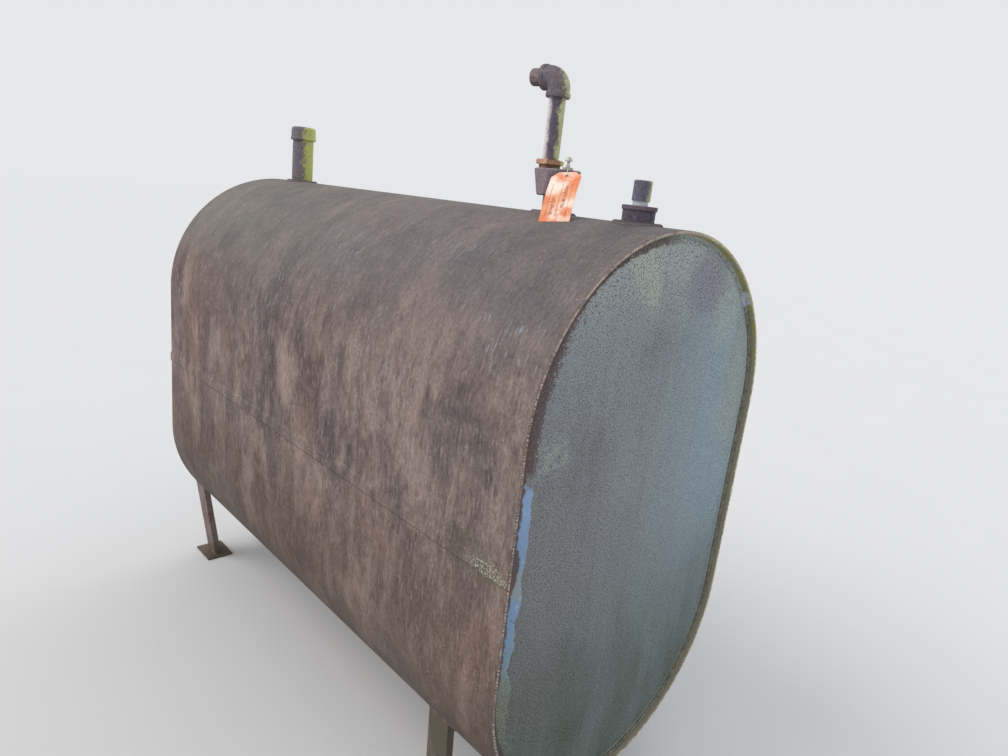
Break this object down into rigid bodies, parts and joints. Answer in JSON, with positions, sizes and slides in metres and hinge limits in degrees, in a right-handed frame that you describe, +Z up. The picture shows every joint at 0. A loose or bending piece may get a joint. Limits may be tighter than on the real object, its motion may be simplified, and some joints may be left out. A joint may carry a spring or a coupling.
{
  "type": "oval heating oil storage tank",
  "caption": "Upright oval steel fuel-oil tank on short channel legs, with capped fill pipe, vent elbow, float gauge and a tied paper tag.",
  "frame": {"origin": "on the floor, under the middle of the tank", "axes": "+X along the tank to its front head, +Z up, -Y the near side"},
  "size_m": [1.524, 0.6918, 1.5096],
  "materials": {
    "shell_paint": "weathered brown primer with fine vertical rust streaks",
    "head_paint": "grey-green weathered paint with dense rust specks",
    "leg_paint": "dull brown, rusted at the edges",
    "weld_bead": "rippled weld, rusted",
    "pipe_rust": "rusted steel pipe with lichen on one side",
    "cast_rust": "rusted cast iron",
    "pale_screw": "dull zinc",
    "sight_glass": "clouded clear glass",
    "tag_card": "orange card, matt",
    "tie_wire": "thin pale wire"
  },
  "bodies": {
    "root": {"shell_upper": "shell_paint", "shell_lower": "shell_paint", "seam_weld_near": "weld_bead", "seam_weld_far": "weld_bead", "head_front": "head_paint", "head_rear": "head_paint", "rim_weld_front": "weld_bead", "rim_weld_rear": "weld_bead", "leg_front_near": "leg_paint", "leg_front_far": "leg_paint", "leg_rear_near": "leg_paint", "leg_rear_far": "leg_paint", "foot_front_near": "leg_paint", "foot_front_far": "leg_paint", "foot_rear_near": "leg_paint", "foot_rear_far": "leg_paint", "fill_spud": "weld_bead", "fill_pipe": "pipe_rust", "fill_cap": "pipe_rust", "vent_spud": "weld_bead", "vent_neck": "pipe_rust", "vent_casting": "cast_rust", "vent_bushing": "cast_rust", "vent_pipe": "pipe_rust", "vent_elbow": "pipe_rust", "vent_nipple": "pipe_rust", "port_screw": "pale_screw", "gauge_spud": "weld_bead", "gauge_body": "cast_rust", "gauge_glass": "sight_glass", "gauge_cap": "cast_rust", "drain_spud": "weld_bead", "drain_plug": "cast_rust", "lot_tag": "tag_card", "tag_wire": "tie_wire"}
  },
  "joints": []
}
